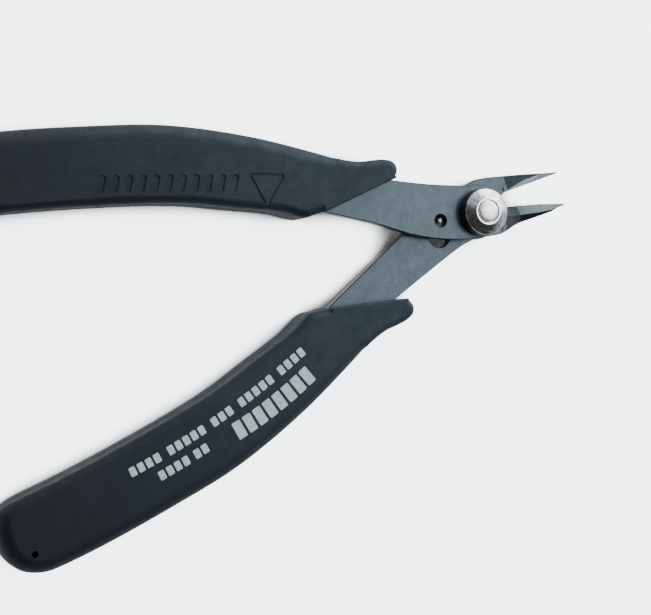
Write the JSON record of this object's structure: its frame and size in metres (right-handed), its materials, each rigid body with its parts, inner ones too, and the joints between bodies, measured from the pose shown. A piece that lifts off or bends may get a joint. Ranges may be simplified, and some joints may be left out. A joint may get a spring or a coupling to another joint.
{
  "type": "flush cutter",
  "caption": "Spring-opened electronics flush cutter: two lap-jointed steel blades with fine jaws on a riveted pivot, in curved moulded grips.",
  "frame": {"origin": "centre of the bounding box on the surface that the tool lies on", "axes": "+X towards the jaw tips, +Y towards the handle of the front half, +Z out of the front face, with the collar of the pivot"},
  "size_m": [0.1258, 0.0766, 0.0105],
  "materials": {
    "blade_steel": "grey phosphated steel, ground bright on the jaws",
    "grip": "soft matt charcoal moulding",
    "bright_steel": "turned and polished",
    "black_steel": "blackened, half gloss",
    "spring_wire": "drawn wire, half bright"
  },
  "bodies": {
    "rear_half": {"rear_blade": "blade_steel", "rear_grip": "grip", "pivot_screw": "bright_steel", "pivot_washer": "black_steel", "pivot_collar": "bright_steel", "return_spring": "spring_wire"},
    "front_half": {"front_blade": "blade_steel", "front_grip": "grip"}
  },
  "joints": [
    {"name": "blade_pivot", "type": "hinge", "parent": "rear_half", "child": "front_half", "pos_m": [0.04261, 0.0003, 0.0047], "axis": [0, 0, 1], "range_deg": [0, 17], "stiffness_Nm_per_rad": 0.14, "springref_deg": -11.46, "deforming": ["return_spring"]}
  ]
}
